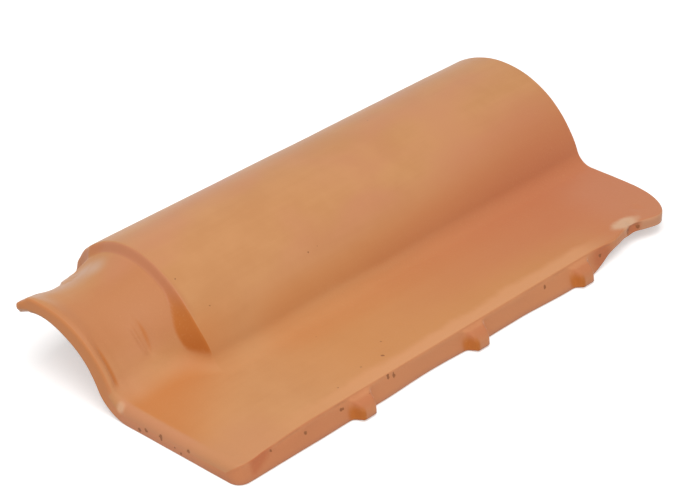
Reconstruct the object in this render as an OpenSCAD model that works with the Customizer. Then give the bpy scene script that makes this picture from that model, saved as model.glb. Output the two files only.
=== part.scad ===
// Mixed roof tile in fired clay: a half-round barrel and a flat pan pressed as one piece.
// The head end has a stepped-down neck that slides under the tail of the next tile up the roof.
// X runs across the tile, Y from the head to the tail, Z up from the plane that the tile lies on.

/* [Tile] */
// Length from head edge to tail edge
tile_length = 430; // [360:1:480]
// Thickness of the clay
wall = 11; // [8:0.5:13]

/* [Barrel] */
// Outer radius of the barrel
barrel_r = 74; // [66:0.5:84]
// How far the barrel's axis lies below the resting plane
barrel_sink = 3; // [0:0.5:8]

/* [Pan] */
// From the barrel's axis to the side wall
pan_reach = 156; // [140:1:180]
// Height of the pan's upper edges
pan_top = 15.7; // [14:0.1:18]
// How far the middle of the pan is dished
pan_dish = 0.8; // [0:0.1:2]
// Fillet radius where the barrel's flank runs out into the pan
valley_r = 14; // [8:0.5:20]
// Rounding of the pan's upper side edge
side_edge_r = 2; // [1:0.5:5]
// How far the side wall leans out, from its upper edge to its foot
side_batter = 4; // [0:0.5:6]
// Width of the rib under the side wall
side_rib = 10; // [6:0.5:14]

/* [Neck] */
// From the head edge to the shoulder
neck_length = 68; // [55:1:80]
// Play between the neck and the tail of the tile that covers it
lap_gap = 2.4; // [1.5:0.1:6]
// How far the neck leans away from the pan at the head edge
neck_lean = 13; // [6:0.5:16]
// How far the neck's axis falls at the head edge
neck_fall = 8; // [4:0.5:12]
// Sag of the neck between the shoulder and the head edge
neck_sag = 9; // [0:0.5:10]
// How much larger the valley's fillet is at the neck's waist
valley_flare = 12; // [0:0.5:16]
// Length of the shoulder's slope on the crown
crown_slope = 2.5; // [2:0.5:8]
// Length of the shoulder's slope on the flank beside the pan
flank_slope = 11; // [8:0.5:16]
// How far the shoulder's edge is set askew, nearer the head on the side of the pan
shoulder_skew = 7; // [0:0.5:9]

/* [Head] */
// How far the pan falls at the head edge
head_fall = 3.5; // [0:0.1:4.5]
// Rounding of the pan's head edge
head_edge_r = 6; // [3:0.5:8]
// Rounding of the neck's head edge
neck_edge_r = 2; // [1:0.5:5]
// Depth of the cove behind the head edge
cove_depth = 0.6; // [0:0.1:2.5]
// Length of the cove behind the head edge
cove_length = 18; // [12:1:24]
// Rounding of the corner between head and side
head_corner_r = 8; // [6:0.5:20]
// Width of the rib under the head edge
head_rib = 12; // [8:0.5:18]
// From the barrel's axis to the cut corner, at the head edge
notch_head = 37; // [25:0.5:50]
// From the barrel's axis to the cut corner, at the shoulder
notch_end = 44.5; // [30:0.5:55]
// How far the cut slants along the barrel, from the shoulder to the barrel's foot
notch_slant = 15.5; // [8:0.5:30]
// Rounding of the neck's tip beside the cut
tip_r = 6; // [2:0.5:10]

/* [Tail] */
// Length of the lip that laps over the next tile down the roof
lip_length = 77; // [50:1:100]
// Height of the lip's underside
lip_rise = 8; // [6.5:0.1:9]
// Length over which the underside steps up to the lip
lip_ramp = 17; // [8:1:30]
// Length of the rounded corner between tail and side
tail_corner_l = 22; // [12:0.5:30]
// Width of the rounded corner between tail and side
tail_corner_w = 40; // [20:1:50]
// Depth of the scoop in the lip's side
scoop_depth = 4; // [0:0.5:7]
// Length of the scoop in the lip's side
scoop_length = 40; // [24:1:46]

/* [Lugs] */
// Number of lugs along the side wall
lug_count = 3; // [1:1:5]
// Width of a lug along the side
lug_w = 15; // [10:0.5:20]
// How far a lug stands out from the side
lug_out = 8.5; // [4:0.5:14]
// Height of a lug
lug_h = 13; // [8:0.5:13.5]
// Height of a lug's upright outer face, below its rounded top
lug_face = 4.5; // [2:0.5:7]
// Rounding of a lug's outer corners
lug_r = 4.5; // [1:0.5:5]
// How far a lug's root flares out along the side wall
lug_flare = 4; // [2:0.5:6]

/* [Hidden] */
clay = [0.80, 0.55, 0.38];

// The tail rides this much above the tile that it covers
lap_rise = pan_top - lip_rise;
// The neck fills the tail's bore, but for the play
neck_r = barrel_r - wall + lap_rise - lap_gap;
// Where the lip starts and where the tail corner's arc starts
lip_start = tile_length - lip_length;
tail_arc_start = tile_length - tail_corner_l;
scoop_mid = tail_arc_start - scoop_length / 2;
// Outer edges of the whole tile, left and right
left_edge = -sqrt(barrel_r * barrel_r - barrel_sink * barrel_sink);
right_edge = pan_reach + lug_out;
// Width over which a rib's inner side slopes up
rib_slope = 4;
// Angles between which the shoulder's slope grows from crown to flank
slope_from = 28;
slope_to = 62;
// Angles over which the shoulder's skew sets in beside the cut corner, and where it stops growing
skew_from = -40;
skew_full = -24;
skew_to = 43;
// Lengths over which the skew builds up from the head edge and dies out along the barrel
skew_rise = 50;
skew_fade = 90;
// How far a lug's root reaches into the side wall, and the hollow of its flare
lug_root = 6;
flare_sink = 0.6;
// The neck's tip is rounded about this place, just short of touching the edges that it joins
tip_sink = 0.3;
tip_angle = atan((notch_end - notch_head) / neck_length);
tip_mid = [tip_r * (1 - sin(tip_angle)) / cos(tip_angle) - notch_head - tip_sink, tip_r - tip_sink];
// How far a cut runs past the edges that it opens
over = 12;

// Counts of points around a section
arch_steps = 30;
fillet_steps = 6;
pan_steps = 6;
edge_steps = 4;

function ease(from, to, v) =
    let (t = max(0, min(1, (v - from) / (to - from))))
    t * t * (3 - 2 * t);
function mix(a, b, t) = a + (b - a) * t;
function spaced(from, to, n) = [for (i = [1:n]) mix(from, to, i / n)];
// How far a quarter round of radius r has cut in, at d past the start of its arc
function round_in(r, d) = d <= 0 ? 0 : r - sqrt(max(0, r * r - d * d));

// Plan and heights along the length
function scoop_at(y) =
    let (d = min(1, abs(y - scoop_mid) / (scoop_length / 2)))
    scoop_depth * pow(cos(90 * d), 2);
function side_at(y) =
    pan_reach
    - round_in(head_corner_r, head_corner_r - y)
    - round_in(tail_corner_l, y - tail_arc_start) * tail_corner_w / tail_corner_l
    - scoop_at(y);
function lip_at(y) = ease(lip_start - lip_ramp / 2, lip_start + lip_ramp / 2, y);
function pan_at(y) = pan_top - head_fall * (1 - ease(0, neck_length, y));
function dish_at(y) = pan_dish * (1 - ease(lip_start, tile_length, y));
function side_base_at(y) = lip_rise * lip_at(y);
// Half of the side wall's lean, which ends at the lip
function lean_at(y) = side_batter / 2 * (1 - lip_at(y));
function under_at(y) =
    mix(
        mix(0, pan_at(y) - wall, ease(head_rib, head_rib + rib_slope, y)),
        lip_rise,
        lip_at(y)
    );
// The upper skin dips at the rounded head edge and in the cove behind it
function relief_at(y, edge_r) =
    let (d = max(0, min(1, (y - edge_r) / cove_length)))
    -round_in(edge_r, edge_r - y) - cove_depth * pow(sin(180 * d), 2);

// The arch is a circle with a fillet at its foot: [centre x, centre z, radius, fillet radius]
function neck_arch(y) =
    let (t = max(0, 1 - y / neck_length), waist = sin(180 * t))
    [-neck_lean * t, -barrel_sink - neck_fall * t, neck_r - neck_sag * waist, valley_r + valley_flare * waist];
barrel_arch = [0, -barrel_sink, barrel_r, valley_r];

// One skin of the shell, from the barrel's foot to where the valley's fillet meets the pan
function skin(arch, depth, level) =
    let (
        r = arch[2] - depth,
        fillet = arch[3] + depth,
        fz = level + fillet,
        fx = arch.x + sqrt(pow(r + fillet, 2) - pow(fz - arch.y, 2)),
        from = -acos(-arch.y / r),
        to = atan2(fx - arch.x, fz - arch.y)
    )
    concat(
        [for (i = [0:arch_steps])
            let (a = mix(from, to, i / arch_steps))
            [arch.x + r * sin(a), arch.y + r * cos(a)]],
        [for (i = [1:fillet_steps])
            let (a = mix(to, 0, i / fillet_steps))
            [fx - fillet * sin(a), fz - fillet * cos(a)]]
    );

// The shoulder is steep over the crown and slopes out on the flank beside the pan, with a crisp upper edge
function shoulder_at(y, angle) =
    let (slope = mix(crown_slope, flank_slope, ease(slope_from, slope_to, angle)))
    pow(max(0, min(1, 1 - (neck_length - y) / slope)), 2);
function stepped_skin(y, depth, level) =
    let (
        low = skin(neck_arch(y), depth, level),
        high = skin(barrel_arch, depth, level)
    )
    [for (i = [0:len(low) - 1])
        let (angle = atan2(high[i].x, high[i].y + barrel_sink))
        mix(low[i], high[i], shoulder_at(y, angle))];

// The shoulder's skew for each point of a section, from the barrel's foot to the side wall
function skew_of(angle) = sin(min(skew_to, angle)) * ease(skew_from, skew_full, angle);
section_skew = concat(
    [for (p = skin(barrel_arch, 0, pan_top)) skew_of(atan2(p.x, p.y + barrel_sink))],
    [for (i = [1:pan_steps]) skew_of(90) * (1 - i / pan_steps)],
    [for (i = [1:edge_steps]) 0]
);
function skew_at(y) =
    shoulder_skew * ease(0, skew_rise, y) * (1 - ease(neck_length, neck_length + skew_fade, y));

// The upper line of a section, from the barrel's foot to the top of the side wall
function upper_line(y) =
    let (
        crest = pan_at(y) + relief_at(y, head_edge_r),
        skin = stepped_skin(y, -relief_at(y, neck_edge_r), crest),
        from = skin[len(skin) - 1].x,
        to = side_at(y) - lean_at(y) - side_edge_r
    )
    concat(
        skin,
        [for (i = [1:pan_steps])
            let (t = i / pan_steps)
            [mix(from, to, t), crest - dish_at(y) * pow(sin(180 * t), 2)]],
        [for (i = [1:edge_steps])
            let (a = 90 * i / edge_steps)
            [to + side_edge_r * sin(a), crest - side_edge_r * (1 - cos(a))]]
    );

// The lower line of a section, with as many points, from the barrel's foot to the side wall's
function lower_line(y) =
    let (
        level = under_at(y),
        skin = stepped_skin(y, wall, level),
        from = skin[len(skin) - 1].x,
        foot = side_at(y) + lean_at(y),
        rib = side_at(y) - side_rib
    )
    concat(
        skin,
        [for (i = [1:pan_steps]) [mix(from, rib - rib_slope, i / pan_steps), level]],
        [for (i = [1:edge_steps]) [mix(rib, foot, (i - 1) / (edge_steps - 1)), side_base_at(y)]]
    );

// Stations along the length, closer where the form turns
stations = concat(
    [for (a = [0:18:90]) head_edge_r * (1 - cos(a))],
    spaced(head_edge_r, head_edge_r + cove_length, 6),
    spaced(head_edge_r + cove_length, neck_length - flank_slope, 4),
    spaced(neck_length - flank_slope, neck_length - crown_slope, 4),
    spaced(neck_length - crown_slope, neck_length, 6),
    spaced(neck_length, lip_start - lip_ramp / 2, 3),
    spaced(lip_start - lip_ramp / 2, lip_start + lip_ramp / 2, 5),
    spaced(lip_start + lip_ramp / 2, tail_arc_start, 5),
    [for (a = [10:10:90]) tail_arc_start + tail_corner_l * sin(a)]
);

module pressed_shell() {
    upper = [for (y = stations) upper_line(y)];
    lower = [for (y = stations) lower_line(y)];
    half = len(upper[0]);
    n = 2 * half;
    last = len(stations) - 1;
    points = [for (k = [0:last], m = [0:n - 1])
        let (
            i = m < half ? m : n - 1 - m,
            p = m < half ? upper[k][i] : lower[k][i]
        )
        [p.x, stations[k] - skew_at(stations[k]) * section_skew[i], p.y]];
    // An end face is a ladder of cells between the two lines
    head_cells = [for (i = [0:half - 2]) [i, i + 1, n - 2 - i, n - 1 - i]];
    tail_cells = [for (cell = head_cells) [for (i = [3:-1:0]) last * n + cell[i]]];
    walls = [for (k = [0:last - 1]) for (i = [0:n - 1])
        let (a = k * n + i, b = k * n + (i + 1) % n)
        each [[a, a + n, b], [b, a + n, b + n]]];
    polyhedron(points, concat(head_cells, walls, tail_cells), convexity = 6);
}

// The corner cut out of the barrel at its head, so that four tiles can lap at one place
module notch() {
    out = left_edge - over;
    cut_end = neck_length + notch_slant;
    linear_extrude(2 * barrel_r, center = true) {
        polygon([
            [out, -over],
            [-notch_head, -over],
            [-notch_end, neck_length],
            [left_edge, cut_end],
            [out, cut_end]
        ]);
        difference() {
            translate([out, -over])
                square([tip_mid.x - out, over + tip_mid.y]);
            translate(tip_mid)
                circle(tip_r, $fn = 48);
        }
    }
}

// A lug is what its plan and its end view have in common
module lug_plan() {
    root_w = lug_w + 2 * lug_flare;
    translate([-lug_root, -lug_w / 2])
        square([lug_root + lug_out - lug_r, lug_w]);
    translate([0, lug_r - lug_w / 2])
        square([lug_out, lug_w - 2 * lug_r]);
    for (side = [-1, 1])
        translate([lug_out - lug_r, side * (lug_w / 2 - lug_r)])
            circle(lug_r, $fn = 32);
    difference() {
        translate([-lug_root, -root_w / 2])
            square([lug_root + lug_flare - flare_sink, root_w]);
        for (side = [-1, 1])
            translate([lug_flare - flare_sink, side * root_w / 2])
                circle(lug_flare, $fn = 32);
    }
}

module lug_end() {
    translate([-lug_root, 0])
        square([lug_root + lug_out, lug_face]);
    translate([-side_batter / 2, lug_face])
        scale([lug_out + side_batter / 2, lug_h - lug_face])
            circle(1, $fn = 48);
}

module lug() {
    intersection() {
        linear_extrude(lug_h)
            lug_plan();
        rotate([90, 0, 0])
            linear_extrude(lug_w + 2 * lug_flare, center = true)
                lug_end();
    }
}

module roof_tile() {
    color(clay)
        translate([-(left_edge + right_edge) / 2, -tile_length / 2, 0]) {
            difference() {
                pressed_shell();
                notch();
            }
            for (i = [1:lug_count])
                translate([pan_reach, tile_length * i / (lug_count + 1), 0])
                    lug();
        }
}

roof_tile();
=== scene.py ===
from functools import lru_cache
from math import acos, asin, atan2, cos, degrees, exp, pi, radians, sin, sqrt

import bmesh
import bpy
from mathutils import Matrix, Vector, kdtree, noise


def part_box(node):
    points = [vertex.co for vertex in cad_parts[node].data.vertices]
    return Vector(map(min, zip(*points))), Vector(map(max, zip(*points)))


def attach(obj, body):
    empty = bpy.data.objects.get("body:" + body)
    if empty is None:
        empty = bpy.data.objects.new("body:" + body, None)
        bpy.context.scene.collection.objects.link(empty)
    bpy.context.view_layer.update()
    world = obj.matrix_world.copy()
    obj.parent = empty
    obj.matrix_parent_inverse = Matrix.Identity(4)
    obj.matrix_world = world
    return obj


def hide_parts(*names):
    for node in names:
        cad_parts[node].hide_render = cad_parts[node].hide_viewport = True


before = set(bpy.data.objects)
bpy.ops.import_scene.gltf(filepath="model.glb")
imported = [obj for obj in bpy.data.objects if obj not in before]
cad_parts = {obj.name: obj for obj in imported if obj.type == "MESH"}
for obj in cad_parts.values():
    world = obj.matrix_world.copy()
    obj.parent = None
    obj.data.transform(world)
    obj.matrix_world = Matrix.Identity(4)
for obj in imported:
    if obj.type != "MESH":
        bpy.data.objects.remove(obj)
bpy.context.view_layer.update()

boxLow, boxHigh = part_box("roof_tile")
print("frame loaded, box", [round(1000 * s) for s in boxHigh - boxLow], "mm")

# sizes of the pressed tile, in mm and degrees, measured from the barrel's axis and the head edge
# a pair is where something starts and where it is full
tile = {
    "wall": 11, "barrelR": 74, "sink": 3,
    # pan, side wall and the ribs under them
    "reach": 156, "panTop": 15.7, "dish": 0.8, "valleyR": 14, "sideEdgeR": 2, "batter": 2,
    "sideRib": 10, "headRib": 12, "ribSlope": 4, "ribShare": 0.25,
    "footLumps": ((170, 45, -1.5), (308, 50, 2.6)),  # middle, half length, how far out
    # head edge
    "headFall": 3.5, "headEdgeR": 6, "headCornerR": 8, "coveDepth": 0.6, "coveLength": 18,
    # neck, with the groove behind its rolled end
    "neckLength": 68, "neckR": 68.3, "neckLean": 13, "neckFall": 8, "neckSag": 9, "valleyFlare": 12,
    "neckEdgeR": 4.5, "neckFull": 2.2, "neckFullSpan": (0.2, 0.6), "neckFullFade": (45, 6),
    "groove": 2, "grooveMid": 7.5, "grooveHalf": 4.5, "grooveArch": (0.6, 0.86), "grooveValley": (0.5, 0),
    # shoulder
    "crownSlope": 2.5, "flankSlope": 11, "slopeSpan": (28, 62),
    "valleySlope": 14, "valleySlopeSpan": (68, 84),
    "skew": 7, "skewSpan": (-40, -24), "skewTo": 43, "skewRise": 50,
    "skewCalm": 0.6, "skewCalmSpan": (50, 72),
    # cut corner, and the tip that it leaves on the neck
    "notchHead": 38.5, "notchEnd": 44.5, "notchSlant": 15.5, "notchFade": 90,
    "tipR": 3.5, "tipThin": 2.5, "tipEdgeR": 2, "tipEdgeShare": 0.3,
    "tipDrop": 5, "tipDropSpan": (12, -2), "tipDropLean": 0.7,
    # lip and tail
    "lipLength": 82, "lipRise": 8, "lipRamp": 30, "scoopDepth": 4.3, "scoopLength": 50,
    "tailSwell": 1.2, "tailOutSpan": (395, 410), "tailDownSpan": (400, 420),
    "tailCornerL": 22, "tailCornerW": 40,
    # lugs
    "lugs": 3, "lugW": 15, "lugOut": 8.5, "lugTop": 14, "lugFull": 4, "lugR": 4.5, "lugFlare": 4,
    "lugSoft": 2, "lugUpright": 0.8,
}
mm = 0.001
curved = ("flank", "arch", "valley")
length = (boxHigh.y - boxLow.y) / mm
shoulder = tile["neckLength"]
barrelFoot = sqrt(tile["barrelR"] ** 2 - tile["sink"] ** 2)
axisX = (boxHigh.x + boxLow.x) / 2 / mm - (tile["reach"] + tile["lugOut"] - barrelFoot) / 2
headY = boxLow.y / mm
lugMids = [length * n / (tile["lugs"] + 1) for n in range(1, tile["lugs"] + 1)]


def ease(start, full, v):
    t = max(0.0, min(1.0, (v - start) / (full - start)))
    return t * t * (3 - 2 * t)


def blend(a, b, t):
    return a + (b - a) * t


def hump(mid, half, v):
    return cos(pi / 2 * min(1.0, abs(v - mid) / half)) ** 2


def roundIn(r, d):  # how far a quarter round has cut in, d past the start of its arc
    return 0.0 if d <= 0 else r - sqrt(max(0.0, r * r - d * d))


# plan and heights along the tile
def sideAt(y):
    cornerL = tile["tailCornerL"]
    arcStart = length - cornerL
    half = tile["scoopLength"] / 2
    scoop = tile["scoopDepth"] * hump(arcStart - half, half, y)
    corners = roundIn(tile["headCornerR"], tile["headCornerR"] - y)
    corners += roundIn(cornerL, y - arcStart) * tile["tailCornerW"] / cornerL
    return tile["reach"] + tile["tailSwell"] * ease(*tile["tailOutSpan"], y) - corners - scoop


def lipAt(y):
    start = length - tile["lipLength"]
    return ease(start - tile["lipRamp"] / 2, start + tile["lipRamp"] / 2, y)


def panAt(y):
    return tile["panTop"] - tile["headFall"] * ease(shoulder, 0, y)


def underAt(y):
    ribbed = (panAt(y) - tile["wall"]) * ease(tile["headRib"], tile["headRib"] + tile["ribSlope"], y)
    return blend(ribbed, tile["lipRise"], lipAt(y))


def battered(y):  # the side wall leans out, top in and foot out, but not along the lip
    return tile["batter"] * (1 - lipAt(y))


def footAt(y):  # how far the wall's foot stands out, a little uneven along the tile
    return battered(y) + sum(out * hump(mid, half, y) for mid, half, out in tile["footLumps"])


def reliefAt(y, edgeR):  # rounded head edge, and the cove behind it
    d = max(0.0, min(1.0, (y - edgeR) / tile["coveLength"]))
    return -roundIn(edgeR, edgeR - y) - tile["coveDepth"] * sin(pi * d) ** 2


def notchAt(y):  # the cut corner's side, from head to shoulder
    side = blend(tile["notchHead"], tile["notchEnd"], min(1.0, y / shoulder))
    return roundIn(tile["tipR"], tile["tipR"] - y) - side


# a skin of the shell is an arch and a fillet: where they are, and the angles that bound them
@lru_cache(None)
def skinAt(y, depth, level, isNeck):
    t = max(0.0, 1 - y / shoulder) if isNeck else 0.0
    waist = sin(pi * t)
    r = (tile["neckR"] - tile["neckSag"] * waist if isNeck else tile["barrelR"]) - depth
    fillet = tile["valleyR"] + tile["valleyFlare"] * waist + depth
    cx, cz = -tile["neckLean"] * t, -tile["sink"] - tile["neckFall"] * t
    fz = level + fillet
    fx = cx + sqrt((r + fillet) ** 2 - (fz - cz) ** 2)
    start = -acos(-cz / r)
    cut = asin((notchAt(y) - cx) / r)
    return cx, cz, r, fx, fz, fillet, start, cut, atan2(fx - cx, fz - cz)


def skinPoint(skin, part, t):
    cx, cz, r, fx, fz, fillet, start, cut, end = skin
    if part == "valley":
        a = blend(end, 0, t)
        return fx - fillet * sin(a), fz - fillet * cos(a)
    a = blend(start, cut, t) if part == "flank" else blend(cut, end, t)
    return cx + r * sin(a), cz + r * cos(a)


def barrelAngle(y, part, t):  # degrees round the barrel's axis, 0 at the crown
    x, z = skinPoint(skinAt(y, 0, panAt(y), False), part, t)
    return degrees(atan2(x, z + tile["sink"]))


def slopeAt(angle):  # the shoulder is steep over the crown and slopes out beside the pan
    return blend(tile["crownSlope"], tile["flankSlope"], ease(*tile["slopeSpan"], angle))


def pastShoulder(y):  # 1 at the shoulder, fading out along the barrel
    return ease(shoulder + tile["notchFade"], shoulder, y)


def skewAt(y, part, t):  # the shoulder's edge is set askew, nearer the head beside the pan
    near = ease(0, tile["skewRise"], y) * pastShoulder(y)
    angle = barrelAngle(y, part, t) if part in curved else 90
    fall = {"pan": 1 - t, "edge": 0}.get(part, 1)
    turn = sin(radians(min(tile["skewTo"], angle))) * ease(*tile["skewSpan"], angle)
    calm = 1 - tile["skewCalm"] * ease(*tile["skewCalmSpan"], angle)
    return -tile["skew"] * turn * near * fall * calm


def steppedPoint(y, depth, level, part, t):
    x1, z1 = skinPoint(skinAt(y, depth, level, False), part, t)
    if y >= shoulder:
        return x1, z1
    x0, z0 = skinPoint(skinAt(y, depth, level, True), part, t)
    angle = degrees(atan2(x1, z1 + tile["sink"]))
    slope = slopeAt(angle) + tile["valleySlope"] * ease(*tile["valleySlopeSpan"], angle)
    rise = max(0.0, 1 - (shoulder - y) / slope) ** 2
    return blend(x0, x1, rise), blend(z0, z1, rise)


def grooveAt(y, part, t):  # behind the neck's rolled end, deepest low on its flank
    deep = {"arch": ease(*tile["grooveArch"], t), "valley": ease(*tile["grooveValley"], t)}.get(part, 0.0)
    return tile["groove"] * deep * hump(tile["grooveMid"], tile["grooveHalf"], y)


def tipDropAt(x, y):  # the neck's tip is worn down
    inward = tile["tipDropLean"] * (x + tile["notchHead"] + y)
    return tile["tipDrop"] * ease(*tile["tipDropSpan"], inward)


def upperPoint(y, part, t):
    crest = panAt(y) + reliefAt(y, tile["headEdgeR"])
    if part in curved:
        fromTip = {"flank": 0.0, "arch": ease(0, tile["tipEdgeShare"], t)}.get(part, 1.0)
        edgeR = blend(tile["tipEdgeR"], tile["neckEdgeR"], fromTip)
        x, z = steppedPoint(y, grooveAt(y, part, t) - reliefAt(y, edgeR), crest, part, t)
        return x, z if part == "valley" else z - tipDropAt(x, y)
    edge = sideAt(y) - battered(y) - tile["sideEdgeR"]
    if part == "pan":
        start = upperPoint(y, "valley", 1)[0]
        dish = tile["dish"] * ease(length, length - tile["lipLength"], y)
        return blend(start, edge, t), crest - dish * sin(pi * t) ** 2
    a = pi / 2 * t
    return edge + tile["sideEdgeR"] * sin(a), crest - tile["sideEdgeR"] * (1 - cos(a))


def lowerPoint(y, part, t):
    level = underAt(y)
    if part in curved:
        thin = {"flank": 1, "arch": 1 - t}.get(part, 0)
        full = {"arch": ease(*tile["neckFullSpan"], t), "valley": ease(1, 0, t)}.get(part, 0.0)
        depth = tile["wall"] + tile["neckFull"] * full * ease(*tile["neckFullFade"], y)
        depth -= thin * roundIn(tile["tipThin"], tile["tipThin"] - y)
        return steppedPoint(y, depth, level, part, t)
    side = sideAt(y)
    rib = side - tile["sideRib"]
    if part == "pan":
        start = steppedPoint(y, tile["wall"], level, "valley", 1)[0]
        return blend(start, rib - tile["ribSlope"], t), level
    base = tile["lipRise"] * lipAt(y) - tile["tailSwell"] * ease(*tile["tailDownSpan"], y)
    share = tile["ribShare"]
    if t < share:
        return blend(rib - tile["ribSlope"], rib, t / share), blend(level, base, t / share)
    return blend(rib, side + footAt(y), (t - share) / (1 - share)), base


def lugAt(y, z):  # how far the side wall swells out into a lug
    swell = 0.0
    half, out = tile["lugW"] / 2, tile["lugOut"]
    for mid in lugMids:
        d = abs(y - mid)
        plan = 0.0
        if d < half:
            plan = out - roundIn(tile["lugR"], d - half + tile["lugR"])
        elif d < half + tile["lugFlare"]:
            plan = roundIn(tile["lugFlare"], half + tile["lugFlare"] - d)
        rise = max(0.0, min(1.0, (z - tile["lugFull"]) / (tile["lugTop"] - tile["lugFull"])))
        top = out * sqrt(1 - rise * rise)
        soft = max(0.0, tile["lugSoft"] - abs(plan - top)) / tile["lugSoft"]
        swell = max(swell, min(plan, top) - soft * soft * tile["lugSoft"] / 4)
    return swell


# the grid's columns run round the section, its rows along the tile
grid = {
    "columns": {"flank": (26, 0.6), "arch": (66, 0.5), "valley": (11, 0), "pan": (34, 0.4), "edge": (8, 0)},
    "headRows": 8, "neckRows": ((24, 9), (34, 5), (45, 16), (57, 5), (65, 8), (shoulder, 6), (72, 5)),
    "rowGap": 3.2, "lugRows": 26, "lugSpare": 1, "tailGap": 2.4, "tailRows": 18, "wallCuts": 11,
}


def steps(start, end, n, pull=0.0):  # n steps after start, drawn towards both ends by pull
    return [blend(start, end, blend(i / n, (1 - cos(pi * i / n)) / 2, pull)) for i in range(1, n + 1)]


columns = [("flank", 0.0)]
for part, (count, pull) in grid["columns"].items():
    columns += [(part, t) for t in steps(0, 1, count, pull)]
notchColumn = grid["columns"]["flank"][0]
headRows, tailRows = grid["headRows"], grid["tailRows"]
rows = [tile["headEdgeR"] * (1 - cos(pi / 2 * i / headRows)) for i in range(headRows + 1)]
for end, count in grid["neckRows"]:
    rows += steps(rows[-1], end, count)
notchRow = rows.index(shoulder)
lugReach = tile["lugW"] / 2 + tile["lugFlare"] + grid["lugSpare"]
for mid in lugMids:
    rows += steps(rows[-1], mid - lugReach, round((mid - lugReach - rows[-1]) / grid["rowGap"]))
    rows += steps(rows[-1], mid + lugReach, grid["lugRows"])
tailArc = length - tile["tailCornerL"]
rows += steps(rows[-1], tailArc, round((tailArc - rows[-1]) / grid["tailGap"]))
rows += [tailArc + tile["tailCornerL"] * sin(pi / 2 * i / tailRows) for i in range(1, tailRows + 1)]
print("tile grid", len(columns), "by", len(rows))

# wear, in mm, in the frame's own axes; waves are pairs of height and size
wear = {
    "sharpFrom": 24, "turns": 3, "reach": 3.0, "tipSize": 9, "tipTurns": 60, "tipOut": (-2.2, -1.8, 0),
    "waves": ((0.35, 60), (0.08, 17)), "ragged": ((0.7, 9), (0.75, 24)),
    "footCalm": (1, 8), "endCalm": 0.85, "endCalmSpan": (190, 207),
    "chipReach": 1.5, "chipCore": 0.35, "chipEdge": ((0.35, 2.5),),
    "chips": [
        {"at": (9, -215, 9.5), "size": 4, "depth": 0.9, "dark": 0.0},
        {"at": (106, 172, 13), "size": 6, "depth": 1.6, "dark": 0.0},
        {"at": (108, 167, 11.5), "size": 4, "depth": 1.2, "dark": 0.6},
        {"at": (-85, -170, 43.4), "size": 7, "depth": -1.1, "dark": 0.0},
        {"at": (104, -205, 11), "size": 4, "depth": 0.6, "dark": 0.0},
        {"at": (95, 190, 15), "size": 5, "depth": 0.6, "dark": 0.0},
    ],
    "scratchNear": 8, "scratchWidths": 3,
    "scratch": [
        {"path": [(-21.1, -172.8, 48.2), (-12.6, -174.4, 42.3), (-5.2, -175.9, 34.5), (0.5, -176.7, 26.4)],
         "width": 1.9, "depth": 1.0, "dark": 0.7},
        {"path": [(-17.3, -180.1, 42.9), (-9, -180.7, 35.8), (-2.2, -179.9, 28.1)],
         "width": 1.3, "depth": -1.1, "dark": 0.0},
    ],
}
# where the layers that the colours read start and are full: shares of a part, mm and degrees
marks = {
    "skin": 0.02, "turnedEdge": 0.4, "turnedNeck": 1.2,
    # the hollow, groove, step and nook marks bound painted shade
    "hollowArch": (0.72, 1), "hollowPan": (0.45, 0), "hollowPast": (5, 75),
    "grooveTo": 20, "grooveShade": 0.75,
    "stepStart": 1.05, "stepFull": 0.7, "stepCrown": 0.4, "stepFlank": (22, 58), "stepEnd": (73, 63),
    "nookReach": 6, "nookPast": (-6, -2), "nookHeight": (16, 4),
    "lugSwell": (0, 4), "lugHeight": (5, 11),
}


def uneven(p, waves):
    return sum(high * noise.noise(p / size) for high, size in waves)


def toLine(p, normal, path):  # distance from a path of points, taken along the surface, and how far along it
    best = (1e9, 0.0)
    for n in range(len(path) - 1):
        a, b = Vector(path[n]), Vector(path[n + 1])
        t = max(0.0, min(1.0, (p - a).dot(b - a) / (b - a).length_squared))
        off = p - a.lerp(b, t)
        if off.length < wear["scratchNear"]:
            best = min(best, ((off - normal * off.dot(normal)).length, (n + t) / (len(path) - 1)))
    return best


# painted shade: the valley's mask, for a darker orange where occlusion and interreflection fall between
# barrel and pan
def hollowAt(y, part, t):  # 1 in the barrel's valley, fading up the flank and out over the pan
    deep = {"arch": ease(*marks["hollowArch"], t), "valley": 1.0, "pan": ease(*marks["hollowPan"], t)}
    return deep.get(part, 0.0) * ease(*marks["hollowPast"], y - shoulder)


# painted shade on the shoulder's step, which faces the head and away from the light, and in the groove behind
# the neck's rolled end
def neckShadeAt(y, part, t):  # the step of the shoulder: faint over the crown, 1 on the slope beside the neck
    if part not in ("arch", "valley") or y > shoulder:
        return 0.0
    if y < marks["grooveTo"]:
        return marks["grooveShade"] * grooveAt(y, part, t) / tile["groove"]
    angle = barrelAngle(y, part, t)
    slope = slopeAt(angle)
    onStep = ease(shoulder - slope * marks["stepStart"], shoulder - slope * marks["stepFull"], y)
    dark = blend(marks["stepCrown"], 1, ease(*marks["stepFlank"], angle))
    return onStep * dark * ease(*marks["stepEnd"], angle)


# painted shade in the hollow foot of each lug
def nookShadeAt(y, z):  # the hollow foot of a lug, on its side towards the head
    deep = 0.0
    for mid in lugMids:
        d = mid - tile["lugW"] / 2 - y
        near = ease(tile["lugFlare"] + marks["nookReach"], 0, d) * ease(*marks["nookPast"], d)
        deep = max(deep, near * ease(*marks["nookHeight"], z))
    return deep


# the sheet: a grid with the cut corner left out, extruded into a shell
bm = bmesh.new()
bmesh.ops.create_grid(bm, x_segments=len(columns) - 1, y_segments=len(rows) - 1, size=1)


def cellOf(co):
    return round((co.x + 1) / 2 * (len(columns) - 1)), round((co.y + 1) / 2 * (len(rows) - 1))


def soften(points, turns):
    for turn in range(turns):
        bmesh.ops.smooth_vert(
            bm, verts=points, factor=0.5, use_axis_x=True, use_axis_y=True, use_axis_z=True)


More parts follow.
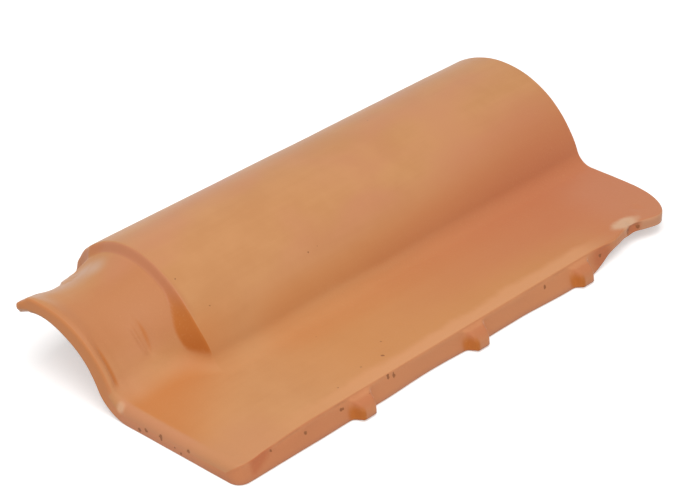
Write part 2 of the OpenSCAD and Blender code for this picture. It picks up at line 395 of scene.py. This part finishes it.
gone = []
for face in bm.faces:
    cells = [cellOf(v.co) for v in face.verts]
    if max(c[0] for c in cells) <= notchColumn and max(c[1] for c in cells) <= notchRow:
        gone.append(face)
bmesh.ops.delete(bm, geom=gone, context="FACES")
made = bmesh.ops.extrude_face_region(bm, geom=bm.faces[:])
lowered = [g for g in made["geom"] if isinstance(g, bmesh.types.BMVert)]
bmesh.ops.translate(bm, vec=(0, 0, -1), verts=lowered)
risers = [e for e in bm.edges if abs(e.verts[0].co.z - e.verts[1].co.z) > 0.5]
bmesh.ops.subdivide_edges(bm, edges=risers, cuts=grid["wallCuts"], use_grid_fill=True)

# the third and fourth layers are masks of painted shade: the valley, and the shoulder's step, the groove, the
# lugs' feet and the scratch
layerNames = ("rim", "under", "hollow", "paintedShade", "edge", "mark", "lug")
layers = {name: bm.verts.layers.float.new(name) for name in layerNames}

# arrises: where a skin of the sheet meets its wall
bm.normal_update()
arris = [v for v in bm.verts if len({abs(f.normal.z) > 0.5 for f in v.link_faces}) == 2]

# each point of the sheet goes to its place on the tile
tip = []
for v in bm.verts:
    i, j = cellOf(v.co)
    if (i, j) == (notchColumn, 0):
        tip.append(v)
    depth = -v.co.z
    onTop, onUnder = depth < marks["skin"], depth > 1 - marks["skin"]
    part, t = columns[i]
    y = rows[j]
    xTop, zTop = upperPoint(y, part, t)
    xLow, zLow = lowerPoint(y, part, t)
    x, z = blend(xTop, xLow, depth), blend(zTop, zLow, depth)
    turned = part == "edge" and t > marks["turnedEdge"]
    turned = turned or part in ("flank", "arch") and y < marks["turnedNeck"]
    v[layers["under"]] = 1.0 if onUnder else 0.0
    v[layers["rim"]] = 1.0 if turned and onTop or not onTop and not onUnder else 0.0
    if onTop:
        # painted shade masks: the valley, and the shoulder's step with the groove behind the neck's end
        v[layers["hollow"]] = hollowAt(y, part, t)
        v[layers["paintedShade"]] = neckShadeAt(y, part, t)
    if i == len(columns) - 1:
        swell = lugAt(y, z)
        x += swell * (1 - tile["lugUpright"] * max(0.0, x - sideAt(y)) / tile["lugOut"])
        v[layers["lug"]] = ease(*marks["lugSwell"], swell) * ease(*marks["lugHeight"], z)
        # painted shade at the foot of each lug
        v[layers["paintedShade"]] = nookShadeAt(y, z)
    y += skewAt(y, part, t)
    if i < notchColumn and j >= notchRow:
        y += tile["notchSlant"] * (1 - i / notchColumn) * pastShoulder(rows[j])
    v.co = Vector((x + axisX, y + headY, z)) * mm
bmesh.ops.recalc_face_normals(bm, faces=bm.faces[:])

# the points along sharp edges are eased a few times
sharp = set(arris)
for e in bm.edges:
    if len(e.link_faces) == 2 and e.calc_face_angle() > radians(wear["sharpFrom"]):
        sharp.update(e.verts)
soften(list(sharp), wear["turns"])

# the tip of the neck is drawn out a little and worn round
tipMiddle = sum((v.co for v in tip), Vector()) / len(tip)
tipPoints = [v for v in bm.verts if (v.co - tipMiddle).length < wear["tipSize"] * mm]
for v in tipPoints:
    v.co += Vector(wear["tipOut"]) * mm * ease(wear["tipSize"], 0, (v.co - tipMiddle).length / mm)
soften(tipPoints, wear["tipTurns"])

# how near each point is to an arris
near = kdtree.KDTree(len(arris))
for n, v in enumerate(arris):
    near.insert(v.co, n)
near.balance()
for v in bm.verts:
    v[layers["edge"]] = exp(-near.find(v.co)[2] / mm / wear["reach"])

# hand-pressed unevenness, chips and the scratch in the neck, all pushed along the surface
bm.normal_update()
moves = []
for v in bm.verts:
    p = v.co / mm
    calm = 1 - wear["endCalm"] * ease(*wear["endCalmSpan"], abs(p.y))
    worn = v[layers["edge"]] ** 2 * ease(*wear["footCalm"], p.z) * calm
    push = uneven(p, wear["waves"]) + worn * uneven(p, wear["ragged"])
    for chip in wear["chips"]:
        d = (p - Vector(chip["at"])).length / chip["size"]
        if d < wear["chipReach"]:
            dent = 1 - ease(wear["chipCore"], 1, d + uneven(p, wear["chipEdge"]))
            push -= chip["depth"] * dent
            v[layers["mark"]] = max(v[layers["mark"]], dent * chip["dark"])
            v[layers["edge"]] = min(v[layers["edge"]], 1 - dent * chip["dark"])
    if v[layers["rim"]] + v[layers["under"]] == 0:
        for line in wear["scratch"]:
            d, along = toLine(p, v.normal, line["path"])
            if d < wear["scratchWidths"] * line["width"]:
                cut = exp(-(d / line["width"]) ** 2) * sin(pi * along) ** 0.5
                push -= line["depth"] * cut
                # the cut-in scratch is darkened with painted shade
                v[layers["paintedShade"]] = max(v[layers["paintedShade"]], cut * line["dark"])
    moves.append((v, v.normal * push * mm))
for v, move in moves:
    v.co += move
    v.co.z = max(0.0, v.co.z)
print("edges worn,", len(arris), "arris points")


def placed(name, data):  # a new object in the scene
    made = bpy.data.objects.new(name, data)
    bpy.context.scene.collection.objects.link(made)
    return made


def aimed(start, end):
    return (Vector(end) - Vector(start)).to_track_quat("-Z", "Y").to_euler()


mesh = bpy.data.meshes.new("roofTile")
bm.to_mesh(mesh)
bm.free()
mesh.polygons.foreach_set("use_smooth", [True] * len(mesh.polygons))
roofTile = placed("roofTile", mesh)
print("tile shell", len(mesh.vertices), "points")

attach(roofTile, "root")
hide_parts("roof_tile")

# camera
view = {"place": (1.01822, -1.10763, 0.90465), "aim": (-0.03369, 0.02992, 0), "lens": 139.58, "sensor": 36}
lens = bpy.data.cameras.new("camera")
lens.sensor_width = view["sensor"]
lens.lens = view["lens"]
camera = placed("camera", lens)
camera.location = view["place"]
camera.rotation_euler = aimed(view["place"], view["aim"])
bpy.context.scene.camera = camera


# shader sockets as numbers: an expression on feeds adds its Math nodes
class Feed:
    def __init__(self, tree, socket=None):
        self.tree = tree
        self.socket = socket

    def node(self, kind, settings, values, out=0):
        made = self.tree.nodes.new(kind)
        for name, value in settings.items():
            setattr(made, name, value)
        for name, value in values.items():
            if isinstance(value, Feed):
                self.tree.links.new(value.socket, made.inputs[name])
            else:
                made.inputs[name].default_value = value
        return Feed(self.tree, made.outputs[out] if made.outputs else None)

    def math(self, operation, a, b):
        return self.node("ShaderNodeMath", {"operation": operation}, {0: a, 1: b})

    def __add__(self, other):
        return self.math("ADD", self, other)

    __radd__ = __add__

    def __sub__(self, other):
        return self.math("SUBTRACT", self, other)

    def __rsub__(self, other):
        return self.math("SUBTRACT", other, self)

    def __mul__(self, other):
        return self.math("MULTIPLY", self, other)

    __rmul__ = __mul__


def emptied(owner):  # a material's or world's node tree, cleared, ready to build in
    owner.use_nodes = True
    owner.node_tree.nodes.clear()
    return Feed(owner.node_tree)


# fired clay: colours are linear, sizes and places in mm
firedClay = {
    # the orange, ember and grime colours are painted shade; the ash colour is the lip's ash-pink tone and
    # also painted sheen and highlight on the neck
    "clay": (0.585, 0.262, 0.098), "light": (0.63, 0.295, 0.118), "shadeOrange": (0.60, 0.218, 0.062),
    "rose": (0.575, 0.188, 0.078), "deepShade": (0.52, 0.152, 0.022), "body": (0.628, 0.243, 0.104),
    "neck": (0.545, 0.208, 0.08), "honey": (0.60, 0.243, 0.072), "footShade": (0.45, 0.19, 0.12),
    "cream": (0.76, 0.43, 0.25), "scuff": (0.70, 0.318, 0.141), "worn": (0.59, 0.256, 0.112),
    "blush": (0.61, 0.245, 0.125), "pale": (0.71, 0.46, 0.29), "ashAndSheen": (0.63, 0.40, 0.28),
    "under": (0.50, 0.205, 0.082), "stain": (0.53, 0.16, 0.062), "pit": (0.25, 0.085, 0.026),
    # size of the blotches, detail, how far they are drawn out along the tile, shift
    "cloudRough": 0.55,
    "clouds": {
        "mottle": (75, 3, 1, 0), "blotch": (22, 4, 1, 3), "streak": (7, 3, 14, 7), "speckle": (1.6, 2, 1, 11),
        "blush": (55, 2, 2, 23), "patch": (9, 3, 1, 31), "grain": (0.7, 2, 1, 2),
    },
    # strength of a tint, and where it is nil and where it is full: over a value, and by axis in mm,
    # with the blotches' raggedness last
    "groundSpan": (0.38, 0.62), "leastRub": 0.3,
    "slant": 0.8, "climb": -0.44, "footWander": 5, "footRagged": 2,
    "zones": {
        "midPan": {"tint": 0.6, "across": [(30, 55), (106, 98)], "along": [(-150, -60)]},
        # painted shade in the valley
        "valley": {"tint": 0.5, "value": (0.15, 1.0)},
        "panFoot": {"tint": 0.4, "footLine": [(22.5, 25), (29, 25)], "along": [(-100, -50)]},
        # painted shade in the cove by the neck's foot, near the head
        "headPan": {"tint": 0.95, "value": (0.1, 0.5), "across": [(2, 22)], "slant": [(-60, -128)],
                    "along": [(-210.5, -208)]},
        "neck": {"tint": 0.8, "along": [(-146, -152)], "across": [(14, -2), (-70, -40, 20)],
                 "height": [(20, 42)]},
        "barrel": {"tint": 0.55, "value": (0.42, 0.66), "across": [(20, 0)]},
        "panRose": {"tint": 0.7, "along": [(-70, 110)], "across": [(-5, 30), (104, 62)]},
        "tail": {"tint": 0.85, "along": [(60, 190, 60)], "across": [(-25, 30)]},
        "wall": {"tint": 0.9},
        # painted shade on the neck's end face, which faces away from the light
        "neckEnd": {"tint": 0.6, "along": [(-213, -214.5)], "across": [(5, -5)]},
        # painted shade along the wall's foot, where it meets the ground
        "wallFoot": {"tint": 0.5, "height": [(5, 0)]},
        "lugs": {"tint": 0.5},
        "wallHead": {"tint": 0.3, "along": [(-90, -170)], "across": [(80, 100)]},
        # painted shade on the shoulder's step: pinker over the crown, deep orange-red on its slope, in the
        # groove, at the lugs' feet and in the scratch
        "crownStep": {"tint": 0.85, "value": (0.05, 0.4), "along": [(-172, -167)], "height": [(46, 58)]},
        "paintedShade": {"tint": 0.95, "value": (0.25, 0.95)},
        "underside": {"tint": 0.8},
        "sideStrip": {"tint": 0.85, "across": [(94, 102, 10)], "along": [(145, 110)]},
        "sideRub": {"tint": 0.7, "along": [(-180, -60)]},
        "headStrip": {"tint": 0.7, "along": [(-207, -211.5, 4)], "across": [(5, 12)]},
        "headBlush": {"tint": 0.5, "along": [(-207, -211.5, 4)], "across": [(5, 12), (90, 60)]},
        "panCorner": {"tint": 0.7, "across": [(62, 92, 16)], "along": [(-150, -186, 16)]},
        "rubbed": {"tint": 0.3, "value": (0.5, 1.15), "along": [(-213, -206)]},
        "headChip": {"tint": 0.8, "across": [(5, 8)]},
        "lip": {"tint": 0.1, "along": [(150, 185)], "across": [(20, 60)]},
        "patch": {"tint": 0.8, "value": (0.25, 0.8)},
        "chips": {"tint": 0.9},
        # painted highlight at the neck's root, where light catches its cut edge
        "neckRoot": {"tint": 0.75},
        # painted sheen along the neck's left edge near its tip
        "neckTip": {"tint": 0.55, "across": [(-62, -82, 16)], "along": [(-158, -172)]},
        "wallStain": {"tint": 0.95, "along": [(-206, -200), (-180, -192)], "climb": [(88.5, 94)],
                      "across": [(104, 107)]},
        "pits": {"tint": 0.8, "value": (0.1, 1.0)},
        "specks": {"tint": 0.25, "value": (0.55, 0.8)},
    },
    # place, reach and the share of it that is full
    "spots": {
        "headChip": ((8.6, -213.8, 10), 5, 0.3), "tailChip": ((106.8, 172, 12), 9, 0.3),
        "lipFoot": ((110, 132, 8), 15, 0.3),
        # rootLow and rootHigh place the painted highlight at the neck's root
        "rootLow": ((-77, -162, 50), 13, 0), "rootHigh": ((-71, -160, 54), 13, 0),
    },
    "patch": ((101.5, 75.5, 15), 11, 0), "patchSqueeze": 0.45,
    # scattered pits: size of the cells, share of them with a pit, most radius, shift
    "wallPits": (9, 0.5, 0.9, 5), "facePits": (18, 0.5, 0.9, 9),
    "cellWobble": (5, 0.16), "cellEdge": (-0.02, 0.05),
    # single pits: place and radius
    "pitWobble": 0.6, "pitBend": 2, "pitReach": 1.8, "pitCore": 0.35,
    "pits": [
        (108.8, -80.4, 14.2, 0.9), (109.2, -80.6, 12.6, 1.0), (109.3, -75.9, 13, 0.8),
        (109.6, -75.7, 11.6, 1.1), (109.9, -122.8, 10.3, 0.9), (109.9, -124.6, 10.3, 0.9),
        (109.6, -110.2, 11.3, 0.8), (110.1, -156.5, 9.6, 1.1), (109.7, -185.5, 11, 1.0),
        (110.2, 71.8, 11, 1.1), (110.2, 6, 9, 0.9), (110.3, 130, 10, 1.0),
        (26.6, -215, 2.6, 1.1), (32.5, -215, 4.8, 1.1), (45.2, -215, 6.3, 1.2), (45.8, -215, 4.4, 0.9),
        (57.6, -215, 3.7, 0.6), (62.7, -215, 1.9, 0.8), (68.9, -215, 6.4, 1.1),
        (92.2, -67.5, 15.4, 1.0), (91.3, -86.5, 15.2, 0.5),
        (96.9, -113.6, 15.4, 0.5), (55.1, -180.8, 13.8, 0.4),
        (107.5, 171, 11.5, 1.6), (107, 167.5, 12.5, 1.3), (107, 176, 11.5, 1.2),
        (-11.7, -145.1, 62.9, 0.45), (8.6, -135.3, 47.3, 0.45),
        (8.3, -46.2, 47.8, 0.5), (7.7, -37.2, 48.2, 0.4),
    ],
    "rough": 0.58, "bump": 0.35, "bumpDepth": 0.0004,
    "ior": 1.42, "specular": 0.35, "sheen": 0.5, "sheenRough": 0.3,
}
clay = bpy.data.materials.new("firedClay")
shade = emptied(clay)
place = shade.node("ShaderNodeTexCoord", {}, {}, "Object")


def mapped(scale, shift=(0, 0, 0)):
    return shade.node("ShaderNodeMapping", {}, {"Vector": place, "Scale": scale, "Location": shift})


inMm = mapped((1000, 1000, 1000))


def axisOf(name):
    return shade.node("ShaderNodeSeparateXYZ", {}, {"Vector": inMm}, name)


def layer(name):
    return shade.node("ShaderNodeAttribute", {"attribute_name": name}, {}, "Fac")


def fade(v, start, end):
    settings = {"interpolation_type": "SMOOTHSTEP"}
    return shade.node("ShaderNodeMapRange", settings, {"Value": v, "From Min": start, "From Max": end})


def tinted(under, name, mask):  # a colour of the clay laid over another by a mask
    values = {0: mask, 7: (*firedClay[name], 1), 6: under}
    return shade.node("ShaderNodeMix", {"data_type": "RGBA"}, values, 2)


def cloud(name):
    size, detail, drawn, shift = firedClay["clouds"][name]
    scale = 1000 / size
    moved = mapped((scale, scale / drawn, scale), (shift, shift / 2, shift / 3))
    values = {"Vector": moved, "Scale": 1, "Detail": detail, "Roughness": firedClay["cloudRough"]}
    return shade.node("ShaderNodeTexNoise", {}, values)


def wobbled(at, scale, bend):  # places pushed about by up to bend
    wobble = shade.node("ShaderNodeTexNoise", {}, {"Vector": at, "Scale": scale, "Detail": 2}, "Color")
    values = {0: wobble, 1: (bend,) * 3, 2: at}
    return shade.node("ShaderNodeVectorMath", {"operation": "MULTIPLY_ADD"}, values)


def scattered(size, share, radius, shift):  # pits up to radius mm, in a share of cells of the given size
    bent = wobbled(mapped((1000 / size,) * 3, (shift,) * 3), *firedClay["cellWobble"])
    distance = shade.node("ShaderNodeTexVoronoi", {}, {"Vector": bent, "Scale": 1}, "Distance")
    cell = shade.node("ShaderNodeTexVoronoi", {}, {"Vector": bent, "Scale": 1}, "Color")
    chosen = shade.node("ShaderNodeSeparateColor", {}, {"Color": cell}, "Red")
    widths = shade.node("ShaderNodeSeparateColor", {}, {"Color": cell}, "Green")
    pit = fade(widths * (radius / size) - distance, *firedClay["cellEdge"])
    return pit * fade(chosen, 1 - share, 1.001 - share)


def around(spot, reach, core, at=inMm):  # 1 at a place, fading out at reach mm
    d = shade.node("ShaderNodeVectorMath", {"operation": "DISTANCE"}, {0: at, 1: spot}, "Value")
    return 1 - fade(d, reach * core, reach)


def spots(*names):  # the stronger of several spots
    mask, *others = (around(*firedClay["spots"][name]) for name in names)
    for other in others:
        mask = shade.math("MAXIMUM", mask, other)
    return mask


across, along, height = axisOf("X"), axisOf("Y"), axisOf("Z")
rim, under, hollow, paintedShade, edge, mark, lug = (layer(name) for name in layerNames)
top = 1 - rim - under
mottle, blotch, streak, speckle = (cloud(name) for name in ("mottle", "blotch", "streak", "speckle"))
ragged = blotch - 0.5
axes = {
    "across": across, "along": along, "height": height,
    "slant": across + firedClay["slant"] * along, "climb": height + firedClay["climb"] * along,
    "footLine": across + firedClay["footWander"] * (mottle - 0.5) + firedClay["footRagged"] * ragged,
}


def zone(name, value=None):  # a tint's strength over its zone of the tile, and by a value where it has one
    limits = firedClay["zones"][name]
    mask = limits["tint"] if value is None else limits["tint"] * fade(value, *limits["value"])
    for axis, v in axes.items():
        for nil, full, *bend in limits.get(axis, []):
            bent = v + bend[0] * ragged if bend else v
            mask = mask * (fade(bent, nil, full) if nil < full else 1 - fade(bent, full, nil))
    return mask


# ground colour, then the zones that drying and firing tint, and painted shade in the valley, by the neck's
# foot, on the neck's end face, along the wall's foot and on the shoulder's step
ground = (*firedClay["clay"], 1)
colour = tinted(ground, "light", fade(0.5 * mottle + 0.3 * blotch + 0.2 * streak, *firedClay["groundSpan"]))
colour = tinted(colour, "honey", top * zone("midPan"))
# painted shade: the valley darker and more orange
colour = tinted(colour, "shadeOrange", top * zone("valley", hollow + 0.35 * (mottle - 0.5)))
colour = tinted(colour, "light", top * zone("panFoot"))
# painted shade: the cove by the neck's foot darker and more orange
colour = tinted(colour, "shadeOrange", top * zone("headPan", mottle + 0.4 * ragged))
colour = tinted(colour, "neck", top * zone("neck"))
colour = tinted(colour, "blush", top * zone("barrel", cloud("blush")))
colour = tinted(colour, "rose", top * zone("panRose"))
colour = tinted(colour, "rose", top * zone("tail"))
colour = tinted(colour, "body", rim * zone("wall"))
# painted shade on the neck's end face
colour = tinted(colour, "shadeOrange", rim * zone("neckEnd"))
# painted shade: the wall darker towards its foot, as a contact shadow
colour = tinted(colour, "footShade", rim * zone("wallFoot"))
colour = tinted(colour, "stain", lug * zone("lugs"))
colour = tinted(colour, "stain", rim * zone("wallHead"))
# painted shade on the shoulder's step, in the groove, at the lugs' feet and in the scratch
colour = tinted(colour, "blush", top * zone("crownStep", paintedShade))
colour = tinted(colour, "deepShade", zone("paintedShade", paintedShade))
colour = tinted(colour, "under", under * zone("underside"))

# rubbed edges, the scuffed strips beside the walls, the pale patch at the tail corner, the painted highlight
# and sheen on the neck and the stains
colour = tinted(colour, "scuff", top * zone("sideStrip") * (firedClay["leastRub"] + zone("sideRub")))
colour = tinted(colour, "worn", top * zone("headStrip"))
colour = tinted(colour, "worn", top * zone("panCorner"))
colour = tinted(colour, "blush", zone("headBlush"))
colour = tinted(colour, "scuff", zone("rubbed", edge + 0.9 * ragged + 0.4 * (speckle - 0.5)))
colour = tinted(colour, "cream", spots("headChip") * zone("headChip"))
colour = tinted(colour, "ashAndSheen", zone("lip") * (top + 3 * rim))
squeezed = mapped((1000, 1000 * firedClay["patchSqueeze"], 1000))
patch = around(*firedClay["patch"], squeezed) + 0.6 * (cloud("patch") - 0.5)
colour = tinted(colour, "pale", zone("patch", patch))
colour = tinted(colour, "stain", rim * zone("chips") * spots("tailChip", "lipFoot"))
# painted highlight at the neck's root
colour = tinted(colour, "ashAndSheen", top * zone("neckRoot") * spots("rootLow", "rootHigh"))
# painted sheen along the neck's left edge near its tip
colour = tinted(colour, "ashAndSheen", top * zone("neckTip"))
colour = tinted(colour, "stain", rim * zone("wallStain"))

# pits in the walls, specks on the faces
pits = scattered(*firedClay["wallPits"]) * (rim + 0.5 * under) + scattered(*firedClay["facePits"]) * top
bent = wobbled(inMm, firedClay["pitWobble"], firedClay["pitBend"])
bentMean = firedClay["pitBend"] / 2
for *spot, radius in firedClay["pits"]:
    middle = tuple(s + bentMean for s in spot)
    pits = pits + around(middle, radius * firedClay["pitReach"], firedClay["pitCore"], bent)
colour = tinted(colour, "pit", zone("pits", pits + mark))
colour = tinted(colour, "light", zone("specks", speckle))

roughness = firedClay["rough"] + 0.14 * ragged + 0.10 * rim + 0.12 * under + 0.08 * (speckle - 0.5)
relief = 0.5 * speckle + 0.35 * cloud("grain") + 0.6 * streak * top
relief = relief + 1.6 * blotch * (rim + under) - 0.8 * pits
bump = shade.node("ShaderNodeBump", {}, {
    "Height": relief, "Strength": firedClay["bump"], "Distance": firedClay["bumpDepth"]}, "Normal")
surface = shade.node("ShaderNodeBsdfPrincipled", {}, {
    "Base Color": colour, "Roughness": roughness, "Normal": bump, "IOR": firedClay["ior"],
    "Specular IOR Level": firedClay["specular"], "Sheen Weight": firedClay["sheen"],
    "Sheen Roughness": firedClay["sheenRough"]})
shade.node("ShaderNodeOutputMaterial", {}, {"Surface": surface})
mesh.materials.append(clay)
print("fired clay,", len(clay.node_tree.nodes), "nodes")

# floor and light
studio = {
    "floorSize": 4, "floorDrop": -0.0003, "floor": 0.85, "lift": 0.45, "sky": 0.46,
    "lamp": 19.5, "lampSize": 1.5, "lampAt": (0.4, -0.5, 1.6),
}
floorMesh = bpy.data.meshes.new("floor")
bm = bmesh.new()
bmesh.ops.create_grid(bm, x_segments=1, y_segments=1, size=studio["floorSize"])
bmesh.ops.translate(bm, vec=(0, 0, studio["floorDrop"]), verts=bm.verts[:])
bm.to_mesh(floorMesh)
bm.free()
floor = placed("floor", floorMesh)
paper = bpy.data.materials.new("paper")
sweep = emptied(paper)


def seenDirectly(feed):  # camera, glossy and transmission rays
    kinds = ("Is Camera Ray", "Is Glossy Ray", "Is Transmission Ray")
    first, second, third = (feed.node("ShaderNodeLightPath", {}, {}, kind) for kind in kinds)
    return feed.math("MINIMUM", first + second + third, 1)


plain = sweep.node("ShaderNodeBsdfDiffuse", {}, {"Color": (studio["floor"],) * 3 + (1,)})
glow = sweep.node("ShaderNodeEmission", {}, {"Color": (1, 1, 1, 1), "Strength": studio["lift"]})
bright = sweep.node("ShaderNodeAddShader", {}, {0: plain, 1: glow})
lifted = sweep.node("ShaderNodeMixShader", {}, {0: seenDirectly(sweep), 1: plain, 2: bright})
sweep.node("ShaderNodeOutputMaterial", {}, {"Surface": lifted})
floorMesh.materials.append(paper)

world = bpy.data.worlds.new("studio")
bpy.context.scene.world = world
sky = emptied(world)
level = studio["sky"] + (1 - studio["sky"]) * seenDirectly(sky)
backdrop = sky.node("ShaderNodeBackground", {}, {"Color": (1, 1, 1, 1), "Strength": level})
sky.node("ShaderNodeOutputWorld", {}, {"Surface": backdrop})

lamp = bpy.data.lights.new("softbox", "AREA")
lamp.energy = studio["lamp"]
lamp.size = studio["lampSize"]
softbox = placed("softbox", lamp)
softbox.location = studio["lampAt"]
softbox.rotation_euler = aimed(studio["lampAt"], (0, 0, 0))
bpy.context.scene.view_settings.view_transform = "Standard"
print("floor and light set")
